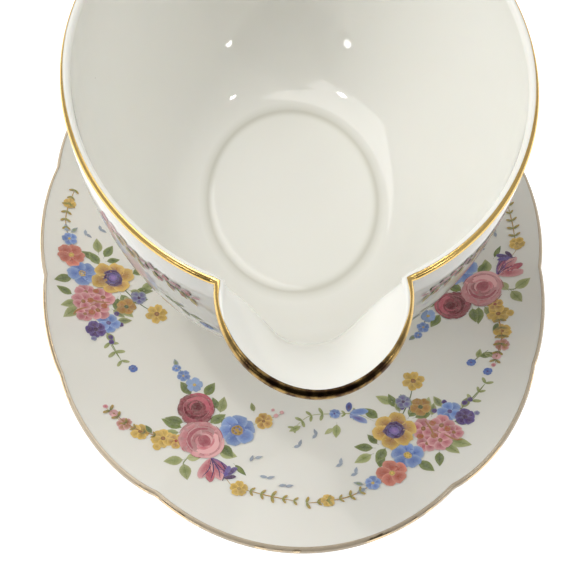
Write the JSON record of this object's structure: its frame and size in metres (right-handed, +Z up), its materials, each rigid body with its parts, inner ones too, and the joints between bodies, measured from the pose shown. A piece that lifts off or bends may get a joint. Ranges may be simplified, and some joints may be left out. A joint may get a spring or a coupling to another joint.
{
  "type": "gravy boat",
  "caption": "Oval china gravy boat with a broad pouring lip and loop handle, standing loose on a scalloped oval underplate with gilt edges and flower sprays.",
  "frame": {"origin": "bottom centre of the underplate, on the table", "axes": "+Z up, the spout points along -Y and the handle along +Y, +X to the right seen from the spout's end"},
  "size_m": [0.1488, 0.217, 0.0902],
  "materials": {
    "underplate_china": "glossy clear glaze over warm white bone china",
    "underplate_gold": "burnished gold line, worn thin",
    "boat_china": "glossy clear glaze over warm white bone china",
    "boat_gold": "burnished gold line",
    "flower_print": "fired-on flower transfer print under a gloss"
  },
  "bodies": {
    "underplate": {"underplate": "underplate_china", "underplate_gilt_edge": "underplate_gold"},
    "boat": {"boat_bowl": "boat_china", "boat_foot": "boat_china", "boat_handle": "boat_china", "boat_gilt_rim": "boat_gold", "handle_gilt_line": "boat_gold"}
  },
  "joints": [
    {"name": "boat_lift", "type": "slide", "parent": "underplate", "child": "boat", "axis": [0, 0, 1], "range_m": [0, 0.12]}
  ]
}
